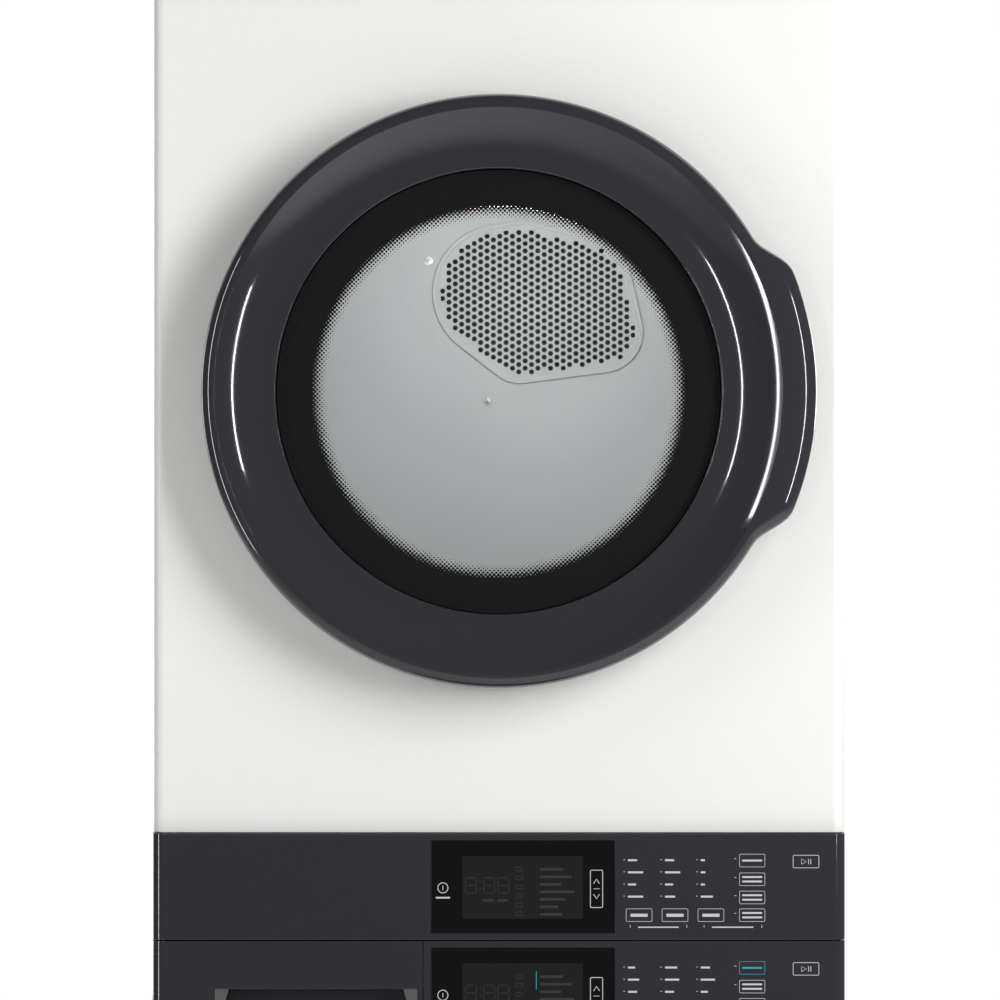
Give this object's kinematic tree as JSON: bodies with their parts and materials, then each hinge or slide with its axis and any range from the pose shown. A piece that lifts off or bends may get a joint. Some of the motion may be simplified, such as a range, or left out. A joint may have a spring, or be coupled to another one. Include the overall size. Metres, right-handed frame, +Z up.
{
  "type": "washer dryer stack",
  "caption": "One-piece laundry tower: a vented dryer over a front-loading washer, round framed glass doors and a shared dark control band.",
  "frame": {"origin": "on the floor under the middle of the whole box", "axes": "+Z up; the doors and controls face -Y; +X is to the right seen from the front"},
  "size_m": [0.686, 0.8, 1.892],
  "materials": {
    "white_enamel": "satin white paint",
    "titanium_gloss": "glossy dark grey moulding",
    "black_glass": "polished black glass",
    "door_glass": "clear tempered glass with a dark printed border",
    "chrome_trim": "polished",
    "galvanised_steel": "galvanised",
    "zinc_steel": "zinc plated",
    "stainless_steel": "brushed stainless",
    "motor_steel": "laminated steel case",
    "cast_aluminium": "as cast",
    "drum_enamel": "light grey powder coat",
    "drum_plastic": "moulded",
    "grey_polypropylene": "moulded",
    "tub_plastic": "glass-filled moulding",
    "valve_plastic": "moulded",
    "black_nylon": "moulded",
    "circuit_board": "lacquered laminate",
    "black_rubber": "moulded",
    "grey_rubber": "moulded",
    "grey_felt": "felt",
    "concrete": "cast"
  },
  "bodies": {
    "cabinet": {"base_frame": "galvanised_steel", "levelling_feet": "black_rubber", "washer_sides": "white_enamel", "dryer_sides": "white_enamel", "top_panel": "white_enamel", "rear_panels": "galvanised_steel", "washer_front_panel": "white_enamel", "dryer_front_panel": "white_enamel", "toe_panel": "white_enamel", "dryer_pan": "galvanised_steel", "dryer_fascia": "titanium_gloss", "washer_fascia": "titanium_gloss", "display_glasses": "black_glass", "control_boards": "circuit_board", "dispenser_housing": "grey_polypropylene", "hinge_brackets": "zinc_steel", "door_catches": "black_nylon", "dryer_door_seal": "grey_felt", "front_bulkhead": "drum_enamel", "rear_bulkhead": "drum_enamel", "air_grille": "drum_enamel", "grille_screws": "zinc_steel", "roller_shafts": "zinc_steel", "dryer_belt": "black_rubber", "dryer_motor": "motor_steel", "exhaust_duct": "galvanised_steel", "heater_box": "galvanised_steel", "washer_gasket": "grey_rubber", "washer_tub": "tub_plastic", "shaft_bearings": "zinc_steel", "washer_belt": "black_rubber", "washer_motor": "motor_steel", "counterweights": "concrete", "tub_suspension": "zinc_steel", "drain_pump": "black_nylon", "inlet_valves": "valve_plastic"},
    "dryer_door": {"dryer_door_ring": "titanium_gloss", "dryer_door_glass": "door_glass", "dryer_door_inner": "grey_polypropylene", "dryer_door_hardware": "zinc_steel"},
    "washer_door": {"washer_door_ring": "titanium_gloss", "washer_door_glass": "door_glass", "washer_door_inner": "grey_polypropylene", "washer_door_hardware": "zinc_steel"},
    "detergent_drawer": {"drawer_tray": "grey_polypropylene", "drawer_front": "titanium_gloss", "drawer_trim": "chrome_trim"},
    "dryer_drum": {"dryer_drum": "drum_enamel", "dryer_baffles": "drum_plastic"},
    "lint_filter": {"lint_filter": "grey_polypropylene"},
    "roller_left": {"drum_roller_left": "black_rubber"},
    "roller_right": {"drum_roller_right": "black_rubber"},
    "belt_idler": {"idler_pulley": "black_nylon"},
    "dryer_rotor": {"dryer_motor_shaft": "zinc_steel", "blower_wheel": "black_nylon"},
    "wash_drum": {"washer_drum": "stainless_steel", "washer_lifters": "drum_plastic", "drum_shaft": "cast_aluminium", "washer_pulley": "cast_aluminium"},
    "washer_rotor": {"washer_motor_pulley": "zinc_steel"}
  },
  "joints": [
    {"name": "dryer_door_hinge", "type": "hinge", "parent": "cabinet", "child": "dryer_door", "pos_m": [-0.284, -0.366, 1.455], "axis": [0, 0, -1], "range_deg": [0, 120]},
    {"name": "washer_door_hinge", "type": "hinge", "parent": "cabinet", "child": "washer_door", "pos_m": [-0.284, -0.366, 0.452], "axis": [0, 0, -1], "range_deg": [0, 120]},
    {"name": "drawer_slide", "type": "slide", "parent": "cabinet", "child": "detergent_drawer", "axis": [0, -1, 0], "range_m": [0, 0.22]},
    {"name": "lint_filter_slide", "type": "slide", "parent": "cabinet", "child": "lint_filter", "axis": [0, 0, 1], "range_m": [0, 0.15]},
    {"name": "dryer_drum_spin", "type": "hinge", "parent": "cabinet", "child": "dryer_drum", "pos_m": [0, 0, 1.455], "axis": [0, 1, 0], "continuous": true},
    {"name": "roller_left_spin", "type": "hinge", "parent": "cabinet", "child": "roller_left", "pos_m": [-0.24416, 0.27, 1.21084], "axis": [0, 1, 0], "continuous": true},
    {"name": "roller_right_spin", "type": "hinge", "parent": "cabinet", "child": "roller_right", "pos_m": [0.24416, 0.27, 1.21084], "axis": [0, 1, 0], "continuous": true},
    {"name": "idler_spin", "type": "hinge", "parent": "cabinet", "child": "belt_idler", "pos_m": [-0.04, 0.11, 0.998], "axis": [0, 1, 0], "continuous": true},
    {"name": "dryer_motor_spin", "type": "hinge", "parent": "cabinet", "child": "dryer_rotor", "pos_m": [-0.15, 0.05, 1.01], "axis": [0, 1, 0], "continuous": true},
    {"name": "wash_drum_spin", "type": "hinge", "parent": "cabinet", "child": "wash_drum", "pos_m": [0, 0, 0.452], "axis": [0, 1, 0], "continuous": true},
    {"name": "washer_motor_spin", "type": "hinge", "parent": "cabinet", "child": "washer_rotor", "pos_m": [0, 0.2, 0.116], "axis": [0, 1, 0], "continuous": true}
  ],
  "couplings": [
    {"joint": "roller_left_spin", "follows": "dryer_drum_spin", "ratio": -8.8571},
    {"joint": "roller_right_spin", "follows": "dryer_drum_spin", "ratio": -8.8571},
    {"joint": "idler_spin", "follows": "dryer_drum_spin", "ratio": 12.4},
    {"joint": "dryer_motor_spin", "follows": "dryer_drum_spin", "ratio": 15.5},
    {"joint": "washer_motor_spin", "follows": "wash_drum_spin", "ratio": 6.5}
  ]
}
